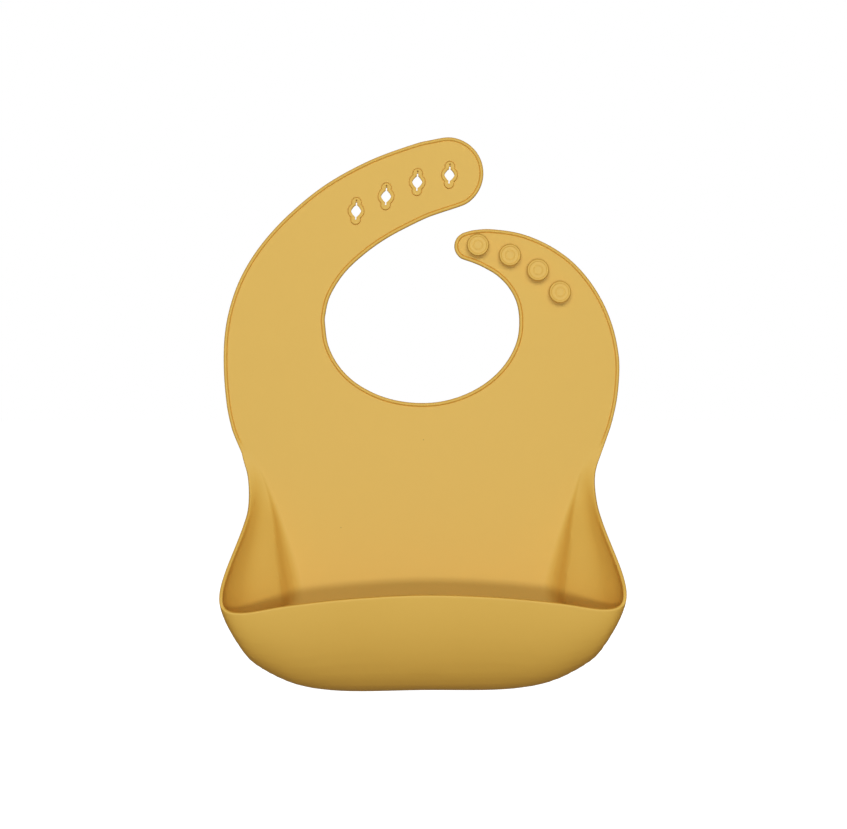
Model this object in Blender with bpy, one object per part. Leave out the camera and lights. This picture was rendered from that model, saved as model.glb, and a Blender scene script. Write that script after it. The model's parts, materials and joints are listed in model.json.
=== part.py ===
"""A silicone baby bib, moulded in one material and modelled as the pieces that move against each other.

Frame: +Z up the wearer's chest, -Y out of the front of the bib, +X to the viewer's right. The origin is the
centre of the neck opening, on the back face of the sheet. All sizes are in metres.

The flat sheet is drawn once, with its raised edge bead, and cut into segments along the lines where the straps
curl and where the bib folds at the waist. The catch pocket is a lofted shell whose front can be pressed in or
pulled open about the front edge of its floor.
"""

import math

import bmesh
import bpy
from mathutils import Vector

# Sheet
SHEET_THICKNESS = 0.0020
BEAD_WIDTH = 0.0024
BEAD_SLOPE = 0.0004
BEAD_HEIGHT = 0.0007
FIT_GAP = 0.0003  # between pieces that touch
FLEX_GAP = 0.0013  # between segments that turn against each other
SPLINE_STEPS = 3

# Outline of the sheet, as (x, z), drawn up the left edge and round to the right
WAIST_HALF_WIDTH = 0.1032
WAIST_HEIGHT = -0.0755
LEFT_OUTER_EDGE = (
    (-0.1078, -0.0679), (-0.1102, -0.0610), (-0.1128, -0.0480), (-0.1144, -0.0280), (-0.1138, -0.0080),
    (-0.1101, 0.0101), (-0.1033, 0.0271), (-0.0922, 0.0442), (-0.0764, 0.0612), (-0.0555, 0.0780),
    (-0.0304, 0.0917), (-0.0054, 0.1009), (0.0050, 0.1034),
)
LEFT_TIP_CENTRE = (0.0141, 0.0843)
LEFT_TIP_RADIUS = 0.0206
LEFT_TIP_ANGLES = (90, -58)
LEFT_INNER_EDGE = (
    (0.0180, 0.0641), (0.0100, 0.0615), (-0.0005, 0.0575), (-0.0202, 0.0473), (-0.0348, 0.0369),
    (-0.0458, 0.0261), (-0.0534, 0.0137),
)
NECK_EDGE = (
    (-0.0561, 0.0030), (-0.0562, -0.0029), (-0.0545, -0.0142), (-0.0494, -0.0248), (-0.0413, -0.0339),
    (-0.0307, -0.0408), (-0.0186, -0.0454), (-0.0056, -0.0475), (0.0077, -0.0472), (0.0204, -0.0442),
    (0.0320, -0.0388), (0.0419, -0.0313), (0.0494, -0.0220), (0.0541, -0.0114), (0.0553, -0.0001),
)
RIGHT_INNER_EDGE = ((0.0537, 0.0102), (0.0491, 0.0189), (0.0425, 0.0256), (0.0350, 0.0301), (0.0290, 0.0328))
RIGHT_TIP_CENTRE = (0.0262, 0.0424)
RIGHT_TIP_RADIUS = 0.0082
RIGHT_TIP_ANGLES = (245, 105)
RIGHT_OUTER_EDGE = (
    (0.0300, 0.0517), (0.0398, 0.0521), (0.0557, 0.0497), (0.0707, 0.0438), (0.0842, 0.0349),
    (0.0948, 0.0237), (0.1033, 0.0103), (0.1089, -0.0036), (0.1120, -0.0173), (0.1128, -0.0290),
    (0.1115, -0.0449), (0.1085, -0.0588), (0.1058, -0.0671),
)
ARC_STEP = 18  # degrees between the points of a round stretch

# Flex lines: those of the straps run out from the neck's centre at these angles from +X, in degrees
LEFT_FLEX_ANGLES = (180, 153, 129, 99.5)
RIGHT_FLEX_ANGLES = (0, 17.3, 29.8)
WAIST_FOLD_HEIGHT = -0.0690
STRAP_TIPS_SPLIT_HEIGHT = 0.0562  # the left tip lies above it and the right tip below

# Fastening: slots in the left strap, as (x, z), and studs on the right one
SLOTS = ((-0.0384, 0.0625), (-0.0212, 0.0709), (-0.0033, 0.0791), (0.0152, 0.0832))
SLOT_LEAN = 3  # degrees that a slot leans from upright
SLOT_HALF_WIDTH = 0.0027
SLIT_HALF_WIDTH = 0.0006
SLIT_REACH = 0.0049
SLOT_RIM_RADIUS = 0.0048
SLOT_RIM_END_RADIUS = 0.0029
SLOT_RIM_END_OFFSET = 0.0049
SLOT_RIM_HEIGHT = 0.0006
STUDS = ((0.0314, 0.0426), (0.0497, 0.0368), (0.0657, 0.0283), (0.0783, 0.0157))
STUD_HEAD_RADIUS = 0.0063
STUD_HEAD_THICKNESS = 0.0024
STUD_STEM_RADIUS = 0.0032
STUD_STEM_HEIGHT = 0.0026
STUD_EDGE_ROUND = 0.0006
STUD_SEGMENTS = 32

# Pocket: ribs from the middle of its floor round to the waist, mirrored for the left side.
# Each rib leaves the back panel at (x, z), bulges and ends on the lip at (x, y, z). The handles say how far the
# rib keeps its direction at each end, the angle how steeply it reaches the lip (0 forward, 90 straight up), and
# the flare how much of that forward direction turns outward, in the panel's plane.
RIBS = (
    # root x, root z, lip x, lip y, lip z, root handle, lip handle, lip angle, flare
    (0.0000, -0.1964, 0.0000, -0.0510, -0.1523, 0.0245, 0.0634, 77, 0.0),
    (0.0400, -0.1980, 0.0400, -0.0507, -0.1540, 0.0232, 0.0608, 76, 0.0),
    (0.0600, -0.1927, 0.0734, -0.0500, -0.1575, 0.0236, 0.0578, 77, 0.0),
    (0.0690, -0.1805, 0.0967, -0.0500, -0.1610, 0.0287, 0.0473, 74, 0.0),
    (0.0725, -0.1658, 0.1071, -0.0495, -0.1595, 0.0221, 0.0347, 62, 0.0),
    (0.0742, -0.1540, 0.1103, -0.0470, -0.1534, 0.0156, 0.0209, 33, 0.0),
    (0.0768, -0.1350, 0.1088, -0.0385, -0.1416, 0.0130, 0.0160, 15, 0.1),
    (0.0812, -0.1150, 0.1011, -0.0215, -0.1178, 0.0090, 0.0090, 8, 0.25),
    (0.0850, -0.1000, 0.0984, -0.0105, -0.1037, 0.0060, 0.0050, 4, 0.5),
    (0.0900, -0.0870, 0.0986, -0.0040, -0.0890, 0.0030, 0.0030, 2, 0.8),
    (0.0965, -0.0750, WAIST_HALF_WIDTH, -0.0010, WAIST_HEIGHT, 0.0020, 0.0020, 0, 1.0),
)
RIB_STEPS = 12
FRONT_HALF_WIDTH = 0.0620
ROOT_GAP = 0.0005  # between the flat lower panel and the pocket that it runs on into
WAIST_GAP = 0.0010  # the same, at the waist, where the pocket's edge curls over
POCKET_HINGE_Y = -0.0240
POCKET_HINGE_GAP = 0.0026

BACK_TRIM = 0.00005  # nothing stands behind the back face by more than this

FAR = 0.4  # beyond the whole bib
CUT_DEPTH = 0.01  # how far a cutter reaches past the sheet on each side
STRAP_CELL_APEX = 0.005  # from the neck's centre, where a strap segment's cell begins
LEFT_END_APEX = 0.050
LEFT_END_FOOT_X = 0.008  # between the left strap's inner edge and the right strap's tip
RIGHT_END_APEX = 0.020
RIGHT_END_OUTER = 0.105

SILICONE = (0.70, 0.44, 0.11)
STUD_SILICONE = (0.72, 0.46, 0.13)


def clear_scene():
    for obj in list(bpy.data.objects):
        bpy.data.objects.remove(obj, do_unlink=True)


def make_material(name, colour, roughness):
    material = bpy.data.materials.new(name)
    material.use_nodes = True
    shader = material.node_tree.nodes["Principled BSDF"]
    shader.inputs["Base Color"].default_value = (*colour, 1.0)
    shader.inputs["Roughness"].default_value = roughness
    shader.inputs["Metallic"].default_value = 0.0
    return material


def make_object(name, bm, material=None):
    bmesh.ops.recalc_face_normals(bm, faces=bm.faces)
    mesh = bpy.data.meshes.new(name)
    bm.to_mesh(mesh)
    bm.free()
    obj = bpy.data.objects.new(name, mesh)
    bpy.context.scene.collection.objects.link(obj)
    if material:
        mesh.materials.append(material)
    return obj


def make_cutter(name, bm):
    cutter = make_object(name, bm)
    cutter.hide_render = True
    cutter.display_type = "WIRE"
    return cutter


def add_boolean(obj, operation, other):
    modifier = obj.modifiers.new(f"{operation.lower()}_{other.name}", "BOOLEAN")
    modifier.operation = operation
    modifier.solver = "EXACT"
    modifier.object = other


def catmull_rom(a, b, c, d, t):
    """The point a share t of the way from b to c, on a smooth curve through a, b, c and d."""
    return 0.5 * (2 * b + (c - a) * t + (2 * a - 5 * b + 4 * c - d) * t**2 + (3 * b - a - 3 * c + d) * t**3)


def spline(points, steps):
    """A smooth open curve through the points, with this many steps between each two."""
    points = [Vector(p) for p in points]
    ends = [2 * points[0] - points[1], *points, 2 * points[-1] - points[-2]]
    curve = [
        catmull_rom(*ends[i : i + 4], step / steps) for i in range(len(points) - 1) for step in range(steps)
    ]
    return [*curve, points[-1]]


def arc(centre, radius, first, last):
    """Points on an arc of a circle from one angle to another, in degrees."""
    count = max(2, round(abs(last - first) / ARC_STEP))
    angles = [math.radians(first + (last - first) * i / count) for i in range(count + 1)]
    return [(centre[0] + radius * math.cos(a), centre[1] + radius * math.sin(a)) for a in angles]


def sheet_outline():
    """The closed outline of the flat sheet, run on below the waist, where the pocket's root trims it."""
    edge = [
        (-WAIST_HALF_WIDTH, WAIST_HEIGHT),
        *LEFT_OUTER_EDGE,
        *arc(LEFT_TIP_CENTRE, LEFT_TIP_RADIUS, *LEFT_TIP_ANGLES),
        *LEFT_INNER_EDGE,
        *NECK_EDGE,
        *RIGHT_INNER_EDGE,
        *arc(RIGHT_TIP_CENTRE, RIGHT_TIP_RADIUS, *RIGHT_TIP_ANGLES),
        *RIGHT_OUTER_EDGE,
        (WAIST_HALF_WIDTH, WAIST_HEIGHT),
    ]
    return [*spline(edge, SPLINE_STEPS), (WAIST_HALF_WIDTH, -FAR), (-WAIST_HALF_WIDTH, -FAR)]


def polygon_prism(points, back, front):
    """A bmesh of the (x, z) polygon, extruded from y = back to y = front. Returns it with its front face."""
    bm = bmesh.new()
    face = bm.faces.new([bm.verts.new((x, back, z)) for x, z in points])
    extruded = bmesh.ops.extrude_face_region(bm, geom=[face])["geom"]
    moved = [v for v in extruded if isinstance(v, bmesh.types.BMVert)]
    bmesh.ops.translate(bm, verts=moved, vec=(0, front - back, 0))
    front_face = next(f for f in extruded if isinstance(f, bmesh.types.BMFace))
    bmesh.ops.recalc_face_normals(bm, faces=bm.faces)
    return bm, front_face


def sheet_bmesh():
    """The whole flat sheet: a flat back, and a front with a raised bead along its edge."""
    bm, front = polygon_prism(sheet_outline(), 0, -(SHEET_THICKNESS + BEAD_HEIGHT))
    bmesh.ops.inset_region(bm, faces=[front], thickness=BEAD_WIDTH, use_even_offset=True)
    bmesh.ops.inset_region(
        bm, faces=[front], thickness=BEAD_SLOPE, depth=-BEAD_HEIGHT, use_even_offset=True
    )
    return bm


def radial_point(angle, radius, beside=0.0):
    """A point at that radius from the neck's centre, moved sideways, anticlockwise, off the radial line."""
    a = math.radians(angle)
    return (radius * math.cos(a) - beside * math.sin(a), radius * math.sin(a) + beside * math.cos(a))


def strap_cell(low_angle, high_angle):
    """The wedge between two flex lines, drawn in by half the flex gap at each."""
    half = FLEX_GAP / 2
    middle = (low_angle + high_angle) / 2
    apex = radial_point(middle, STRAP_CELL_APEX)
    return [
        apex,
        radial_point(low_angle, FAR, half),
        radial_point(middle, FAR),
        radial_point(high_angle, FAR, -half),
    ]


def left_end_cell():
    """The cell of the left strap's end: past its last flex line, and above the right strap's tip."""
    angle = LEFT_FLEX_ANGLES[-1]
    apex = radial_point(angle, LEFT_END_APEX, -FLEX_GAP / 2)
    side = STRAP_TIPS_SPLIT_HEIGHT
    return [apex, (LEFT_END_FOOT_X, side), (FAR, side), (FAR, FAR), radial_point(angle, FAR, -FLEX_GAP / 2)]


def right_end_cell():
    """The cell of the right strap's end: past its last flex line, and below the left strap's tip."""
    angle = RIGHT_FLEX_ANGLES[-1]
    side = STRAP_TIPS_SPLIT_HEIGHT
    outer = radial_point(angle, RIGHT_END_OUTER, FLEX_GAP / 2)
    return [radial_point(angle, RIGHT_END_APEX, FLEX_GAP / 2), outer, (outer[0], side), (0, side)]


def chest_cell():
    half = FLEX_GAP / 2
    return [
        (-FAR, -half),
        (-FAR, WAIST_FOLD_HEIGHT + half),
        (FAR, WAIST_FOLD_HEIGHT + half),
        (FAR, -half),
    ]


def root_curve(inset):
    """The line where the pocket leaves the back panel, left waist to right, drawn in by the inset."""
    right = spline([(rib[0], rib[1]) for rib in RIBS], SPLINE_STEPS)
    line = [Vector((-p.x, p.y)) for p in reversed(right[1:])] + right
    moved = []
    for i, point in enumerate(line):
        along = line[min(i + 1, len(line) - 1)] - line[max(i - 1, 0)]
        inward = Vector((-along.y, along.x)).normalized()
        moved.append(point + inward * inset)
    return [(p.x, p.y) for p in moved]


def lower_cell():
    """The flat lower panel: from the waist fold down to the pocket's root."""
    top = WAIST_FOLD_HEIGHT - FLEX_GAP / 2
    shoulder = WAIST_HEIGHT + WAIST_GAP
    root = root_curve(ROOT_GAP)
    root[0] = (root[0][0], root[0][1] + WAIST_GAP)
    root[-1] = (root[-1][0], root[-1][1] + WAIST_GAP)
    return [(-FAR, top), (-FAR, shoulder), (-WAIST_HALF_WIDTH, shoulder), *root, (WAIST_HALF_WIDTH, shoulder),
            (FAR, shoulder), (FAR, top)]


def make_sheet_segment(name, cell, material, cutouts=()):
    """One segment of the sheet: the whole sheet, kept where it lies in the cell, less its cut-outs."""
    segment = make_object(name, sheet_bmesh(), material)
    bm, _ = polygon_prism(cell, CUT_DEPTH, -CUT_DEPTH)
    add_boolean(segment, "INTERSECT", make_cutter(f"{name}_cell", bm))
    for cutout in cutouts:
        add_boolean(segment, "DIFFERENCE", cutout)
    return segment


def slot_rim_outline(extra=0.0):
    """Outline of a slot's thickened rim about its own centre: a round body with a lobe above and below."""
    body = SLOT_RIM_RADIUS + extra
    lobe = SLOT_RIM_END_RADIUS + extra
    # The lobe's circle meets the body's circle at this height.
    meet = (body**2 - lobe**2 + SLOT_RIM_END_OFFSET**2) / (2 * SLOT_RIM_END_OFFSET)
    body_angle = math.degrees(math.asin(meet / body))
    lobe_angle = math.degrees(math.asin((meet - SLOT_RIM_END_OFFSET) / lobe))
    right = arc((0, 0), body, -body_angle, body_angle)
    top = arc((0, SLOT_RIM_END_OFFSET), lobe, lobe_angle, 180 - lobe_angle)
    left = arc((0, 0), body, 180 - body_angle, 180 + body_angle)
    bottom = arc((0, -SLOT_RIM_END_OFFSET), lobe, 180 + lobe_angle, 360 - lobe_angle)
    return [*right, *top[1:-1], *left, *bottom[1:-1]]


def slot_outline():
    """Outline of the opening about its own centre: a round hole with a slit above and below."""
    side = math.degrees(math.acos(SLIT_HALF_WIDTH / SLOT_HALF_WIDTH))
    right = arc((0, 0), SLOT_HALF_WIDTH, -side, side)
    left = arc((0, 0), SLOT_HALF_WIDTH, 180 - side, 180 + side)
    return [
        *right,
        (SLIT_HALF_WIDTH, SLIT_REACH),
        (-SLIT_HALF_WIDTH, SLIT_REACH),
        *left,
        (-SLIT_HALF_WIDTH, -SLIT_REACH),
        (SLIT_HALF_WIDTH, -SLIT_REACH),
    ]


def placed(points, centre):
    """Points about a slot's own centre, leaned and moved to its place on the strap."""
    a = math.radians(-SLOT_LEAN)
    return [
        (centre[0] + x * math.cos(a) - z * math.sin(a), centre[1] + x * math.sin(a) + z * math.cos(a))
        for x, z in points
    ]


def make_slot_cutout(number, centre):
    bm, _ = polygon_prism(placed(slot_rim_outline(FIT_GAP), centre), CUT_DEPTH, -CUT_DEPTH)
    return make_cutter(f"slot_{number}_seat", bm)


def make_slot_rim(number, centre, material):
    """The thickened rim round a slot, with the opening through it."""
    bm, _ = polygon_prism(placed(slot_rim_outline(), centre), 0, -(SHEET_THICKNESS + SLOT_RIM_HEIGHT))
    rim = make_object(f"slot_rim_{number}", bm, material)
    hole, _ = polygon_prism(placed(slot_outline(), centre), CUT_DEPTH, -CUT_DEPTH)
    add_boolean(rim, "DIFFERENCE", make_cutter(f"slot_{number}_opening", hole))
    return rim


def make_stud(number, centre, material):
    """A mushroom stud: a stem that stands on the strap, and a round head with softened edges."""
    foot = -(SHEET_THICKNESS + FIT_GAP)
    neck = foot - STUD_STEM_HEIGHT + FIT_GAP
    head = neck - STUD_HEAD_THICKNESS
    soft = STUD_EDGE_ROUND
    profile = (
        (0, foot), (STUD_STEM_RADIUS, foot), (STUD_STEM_RADIUS, neck), (STUD_HEAD_RADIUS - soft, neck),
        (STUD_HEAD_RADIUS, neck - soft), (STUD_HEAD_RADIUS, head + soft), (STUD_HEAD_RADIUS - soft, head),
        (0, head),
    )
    bm = bmesh.new()
    verts = [bm.verts.new((radius, y, 0)) for radius, y in profile]
    edges = [bm.edges.new(pair) for pair in zip(verts, verts[1:])]
    bmesh.ops.spin(
        bm, geom=[*verts, *edges], cent=(0, 0, 0), axis=(0, 1, 0), angle=2 * math.pi, steps=STUD_SEGMENTS,
        use_merge=True,
    )
    bmesh.ops.remove_doubles(bm, verts=bm.verts, dist=1e-6)
    stud = make_object(f"button_{number}", bm, material)
    stud.location = (centre[0], 0, centre[1])
    stud.data.shade_smooth()
    stud.data.set_sharp_from_angle(angle=math.radians(35))
    return stud


def rib_at(index, share):
    """The nine numbers of the rib a share of the way from one rib to the next."""
    mirrored = (-RIBS[1][0], RIBS[1][1], -RIBS[1][2], *RIBS[1][3:])
    beyond = tuple(2 * a - b for a, b in zip(RIBS[-1], RIBS[-2]))
    ribs = [mirrored, *RIBS, beyond]
    return [catmull_rom(*values, share) for values in zip(*ribs[index : index + 4])]


def pocket_columns():
    """Points of the pocket's middle surface, one list from the root to the lip for each rib."""
    stations = [rib_at(i, step / SPLINE_STEPS) for i in range(len(RIBS) - 1) for step in range(SPLINE_STEPS)]
    stations.append(list(RIBS[-1]))
    middle_y = -SHEET_THICKNESS / 2
    right = []
    for i, station in enumerate(stations):
        root_x, root_z, lip_x, lip_y, lip_z, root_handle, lip_handle, lip_angle, flare = station
        before = stations[max(i - 1, 0)]
        after = stations[min(i + 1, len(stations) - 1)]
        along = Vector((after[0] - before[0], after[1] - before[1]))
        if i == 0:
            along = Vector((1, 0))
        outward = Vector((along.y, -along.x)).normalized()
        root = Vector((root_x, middle_y, root_z))
        lip = Vector((lip_x, lip_y, lip_z))
        rise = math.radians(lip_angle)
        outward = Vector((outward.x, 0, outward.y))
        forward = Vector((0, -1, 0)).lerp(outward, flare).normalized()
        leaving = root + root_handle * outward
        arriving = lip - lip_handle * (forward * math.cos(rise) + Vector((0, 0, math.sin(rise))))
        column = []
        for row in range(RIB_STEPS + 1):
            t = row / RIB_STEPS
            u = 1 - t
            column.append(u**3 * root + 3 * u**2 * t * leaving + 3 * u * t**2 * arriving + t**3 * lip)
        right.append(column)
    left = [[Vector((-p.x, p.y, p.z)) for p in column] for column in reversed(right[1:])]
    return left + right


def pocket_bmesh():
    """The pocket's middle surface: a grid bent to the ribs."""
    columns = pocket_columns()
    bm = bmesh.new()
    made = bmesh.ops.create_grid(bm, x_segments=len(columns) - 1, y_segments=RIB_STEPS, size=1)["verts"]
    made.sort(key=lambda v: (round(v.co.x, 6), round(v.co.y, 6)))
    for vert, point in zip(made, [p for column in columns for p in column]):
        vert.co = point
    return bm


def make_pocket_piece(name, low, high, material):
    """The part of the pocket's shell that lies in the box from low to high."""
    piece = make_object(name, pocket_bmesh(), material)
    wall = piece.modifiers.new("wall", "SOLIDIFY")
    wall.thickness = SHEET_THICKNESS
    wall.offset = 0
    wall.use_even_offset = True
    outline = [(low[0], low[2]), (high[0], low[2]), (high[0], high[2]), (low[0], high[2])]
    bm, _ = polygon_prism(outline, high[1], low[1])
    add_boolean(piece, "INTERSECT", make_cutter(f"{name}_box", bm))
    return piece


def build():
    clear_scene()
    silicone = make_material("silicone", SILICONE, 0.55)
    stud_silicone = make_material("stud_silicone", STUD_SILICONE, 0.45)

    make_sheet_segment("chest_panel", chest_cell(), silicone)
    make_sheet_segment("lower_panel", lower_cell(), silicone)

    seats = [make_slot_cutout(i + 1, centre) for i, centre in enumerate(SLOTS)]
    left = ("left_strap_lower", "left_strap_middle", "left_strap_upper", "left_strap_end")
    left_cutouts = ((), (), seats[:2], seats[2:])
    left_cells = [strap_cell(low, high) for high, low in zip(LEFT_FLEX_ANGLES, LEFT_FLEX_ANGLES[1:])]
    for name, cell, cutouts in zip(left, [*left_cells, left_end_cell()], left_cutouts):
        make_sheet_segment(name, cell, silicone, cutouts)
    right = ("right_strap_lower", "right_strap_upper", "right_strap_end")
    right_cells = [strap_cell(low, high) for low, high in zip(RIGHT_FLEX_ANGLES, RIGHT_FLEX_ANGLES[1:])]
    for name, cell in zip(right, [*right_cells, right_end_cell()]):
        make_sheet_segment(name, cell, silicone)

    for i, centre in enumerate(SLOTS):
        make_slot_rim(i + 1, centre, silicone)
    for i, centre in enumerate(STUDS):
        make_stud(i + 1, centre, stud_silicone)

    half = FRONT_HALF_WIDTH
    inner = half - FIT_GAP
    gap = POCKET_HINGE_GAP / 2
    make_pocket_piece("pocket_side_left", (-FAR, -FAR, -FAR), (-half, BACK_TRIM, 0), silicone)
    make_pocket_piece("pocket_side_right", (half, -FAR, -FAR), (FAR, BACK_TRIM, 0), silicone)
    make_pocket_piece("pocket_floor", (-inner, POCKET_HINGE_Y + gap, -FAR), (inner, BACK_TRIM, 0), silicone)
    make_pocket_piece("pocket_front", (-inner, -FAR, -FAR), (inner, POCKET_HINGE_Y - gap, 0), silicone)


build()
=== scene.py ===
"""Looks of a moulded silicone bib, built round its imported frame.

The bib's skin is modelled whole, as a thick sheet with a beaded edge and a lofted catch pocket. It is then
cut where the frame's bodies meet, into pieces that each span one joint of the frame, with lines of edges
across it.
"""

import json
import logging
import math
from dataclasses import dataclass
from enum import Enum
from typing import Callable, Iterable, Sequence

import bmesh
import bpy
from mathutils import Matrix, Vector


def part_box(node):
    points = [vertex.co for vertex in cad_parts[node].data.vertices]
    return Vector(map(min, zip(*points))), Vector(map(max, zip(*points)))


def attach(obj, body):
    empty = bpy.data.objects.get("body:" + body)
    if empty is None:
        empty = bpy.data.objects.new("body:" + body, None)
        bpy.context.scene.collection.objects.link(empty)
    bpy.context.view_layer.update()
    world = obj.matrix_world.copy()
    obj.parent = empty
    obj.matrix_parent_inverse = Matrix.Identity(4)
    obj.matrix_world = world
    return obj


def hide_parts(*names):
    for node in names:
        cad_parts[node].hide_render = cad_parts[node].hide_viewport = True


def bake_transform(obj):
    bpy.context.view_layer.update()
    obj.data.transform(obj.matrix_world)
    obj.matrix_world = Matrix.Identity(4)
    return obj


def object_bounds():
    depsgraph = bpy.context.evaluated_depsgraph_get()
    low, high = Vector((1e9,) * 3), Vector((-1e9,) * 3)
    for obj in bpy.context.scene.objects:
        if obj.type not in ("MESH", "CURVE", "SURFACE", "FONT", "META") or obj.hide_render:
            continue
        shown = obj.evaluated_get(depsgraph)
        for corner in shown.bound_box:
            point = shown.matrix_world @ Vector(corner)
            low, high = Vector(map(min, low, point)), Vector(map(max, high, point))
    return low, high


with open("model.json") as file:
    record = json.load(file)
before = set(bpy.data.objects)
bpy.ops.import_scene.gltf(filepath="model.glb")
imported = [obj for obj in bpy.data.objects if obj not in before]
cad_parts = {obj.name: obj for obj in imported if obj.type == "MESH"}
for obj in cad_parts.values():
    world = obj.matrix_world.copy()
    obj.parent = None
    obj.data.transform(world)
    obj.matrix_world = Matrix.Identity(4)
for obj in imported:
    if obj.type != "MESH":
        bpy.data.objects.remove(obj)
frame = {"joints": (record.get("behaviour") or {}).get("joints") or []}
cad_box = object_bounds()

logging.basicConfig(level=logging.INFO, format="%(name)s: %(message)s")
log = logging.getLogger("bib")

JOINTS = {joint["name"]: joint for joint in frame["joints"]}
BACKWARDS = Vector((0, 1, 0))
SHARP_ANGLE = math.radians(52)
BEYOND = 0.01  # how far a cutting solid reaches past the sheet
MERGE_DISTANCE = 1e-6  # points closer than this are one
LEAST_LENGTH = 1e-9  # stands in for a step without length where it is divided by
LEAST_SHARE = 1e-6  # stands in for a sine or cosine of 0 where it is divided by
AREA_WEIGHT = 0.25  # the power of a face's area by which it counts in an edge's normal
Face = bmesh.types.BMFace
Vert = bmesh.types.BMVert
Mesh = bmesh.types.BMesh
Node = bpy.types.Node
NodeTree = bpy.types.NodeTree
Pair = tuple[float, float]
Points = tuple[Pair, ...]
Link = tuple[Node, str | int, Node, str | int]


# ---------------------------------------------------------------- curves


def catmull_rom(a: Vector, b: Vector, c: Vector, d: Vector, t: float) -> Vector:
    """A point of a smooth curve through four points.

    Args:
        a: The point before the stretch.
        b: The stretch's first point.
        c: The stretch's last point.
        d: The point after the stretch.
        t: The share of the way from b to c.

    Returns:
        The point on the curve.
    """
    return 0.5 * (2 * b + (c - a) * t + (2 * a - 5 * b + 4 * c - d) * t**2 + (3 * b - a - 3 * c + d) * t**3)


def spline(points: Iterable[Sequence[float]], steps: int) -> list[Vector]:
    """A smooth open curve through points.

    Args:
        points: The points that the curve passes through.
        steps: The number of straight steps between each two points.

    Returns:
        The curve's points, both ends included.
    """
    knots = [Vector(p) for p in points]
    ends = [2 * knots[0] - knots[1], *knots, 2 * knots[-1] - knots[-2]]
    curve = [catmull_rom(*ends[i : i + 4], s / steps) for i in range(len(knots) - 1) for s in range(steps)]
    return [*curve, knots[-1]]


def arc(centre: Pair, radius: float, first: float, last: float, step: float = 18) -> list[Pair]:
    """Points along an arc of a circle.

    Args:
        centre: The arc's centre, as (x, z).
        radius: Its radius.
        first: The first point's angle from +x, in degrees.
        last: The last point's angle, in degrees.
        step: The angle between neighbouring points, in degrees.

    Returns:
        The points as (x, z).
    """
    count = max(2, round(abs(last - first) / step))
    angles = [math.radians(first + (last - first) * i / count) for i in range(count + 1)]
    return [(centre[0] + radius * math.cos(a), centre[1] + radius * math.sin(a)) for a in angles]


def reach(offset: float, radius: float, angle: float) -> float:
    """How far a circle centred above or below the origin reaches in one direction, or 0 beside it."""
    past = radius**2 - (offset * math.cos(angle)) ** 2
    return offset * abs(math.sin(angle)) + math.sqrt(past) if past > 0 else 0.0


def smooth_step(low: float, high: float, value: float) -> float:
    """A smooth rise from 0 at low to 1 at high."""
    t = min(1.0, max(0.0, (value - low) / (high - low)))
    return t * t * (3 - 2 * t)


def by_length(line: Sequence[Vector], distances: Sequence[float]) -> list[Vector]:
    """Points at given distances along a line of straight steps.

    Args:
        line: The line's points.
        distances: Rising distances from the line's first point.

    Returns:
        One point for each distance.
    """
    found, gone, i = [], 0.0, 0
    for distance in distances:
        while i < len(line) - 2 and gone + (line[i + 1] - line[i]).length < distance:
            gone += (line[i + 1] - line[i]).length
            i += 1
        step = line[i + 1] - line[i]
        found.append(line[i] + step * min(1.0, (distance - gone) / max(step.length, LEAST_LENGTH)))
    return found


# ---------------------------------------------------------------- mesh helpers


def to_object(name: str, bm: Mesh, material: bpy.types.Material) -> bpy.types.Object:
    """Puts a finished bmesh into the scene as an object.

    Args:
        name: The object's name.
        bm: The mesh, which is freed.
        material: The object's only material.

    Returns:
        The new object, at the origin.
    """
    bmesh.ops.recalc_face_normals(bm, faces=bm.faces)
    mesh = bpy.data.meshes.new(name)
    bm.to_mesh(mesh)
    bm.free()
    mesh.materials.append(material)
    mesh.shade_smooth()
    mesh.set_sharp_from_angle(angle=SHARP_ANGLE)
    obj = bpy.data.objects.new(name, mesh)
    bpy.context.scene.collection.objects.link(obj)
    return obj


def grid_through(rows: Sequence[Sequence[Vector]]) -> Mesh:
    """A mesh of squares through rows of points. Rows that meet aren't joined yet.

    Args:
        rows: The rows, each with as many points as the others.

    Returns:
        The mesh.
    """
    bm = bmesh.new()
    grid = bmesh.ops.create_grid(bm, x_segments=len(rows) - 1, y_segments=len(rows[0]) - 1, size=1)["verts"]
    grid.sort(key=lambda vert: (round(vert.co.x, 5), round(vert.co.y, 5)))
    for vert, point in zip(grid, [point for row in rows for point in row]):
        vert.co = point
    return bm


def thicken(bm: Mesh, thickness: float) -> tuple[list[Face], list[Face]]:
    """Turns an open surface into a closed slab, half of the thickness to each side.

    Args:
        bm: The surface, whose faces point to the front.
        thickness: The slab's thickness.

    Returns:
        The faces of the front and those of the back.
    """
    bm.normal_update()
    front = bm.faces[:]
    for vert in bm.verts:
        vert.co += vert.normal * (thickness / 2)
    made = bmesh.ops.solidify(bm, geom=front, thickness=thickness)["geom"]
    return front, [item for item in made if isinstance(item, Face)]


def edge_rings(bm: Mesh, faces: list[Face], distances: Sequence[float]) -> tuple[list[set[Vert]], set[Face]]:
    """Runs rings of edges round inside the border of a region.

    Args:
        bm: The mesh.
        faces: The region's faces, which shrink to what lies inside the last ring.
        distances: How far each ring lies from the border, rising.

    Returns:
        The border's verts and then each ring's, and all the faces that the region has become.
    """
    strips = []
    for last, distance in zip([0.0, *distances], distances):
        made = bmesh.ops.inset_region(
            bm, faces=faces, thickness=distance - last, use_boundary=True, use_even_offset=True
        )
        strips.append(set(made["faces"]))
    verts = [{vert for face in strip for vert in face.verts} for strip in [*strips, faces]]
    rings = [verts[0] - verts[1], *[outer & inner for outer, inner in zip(verts, verts[1:])]]
    return rings, set(faces).union(*strips)


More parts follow.
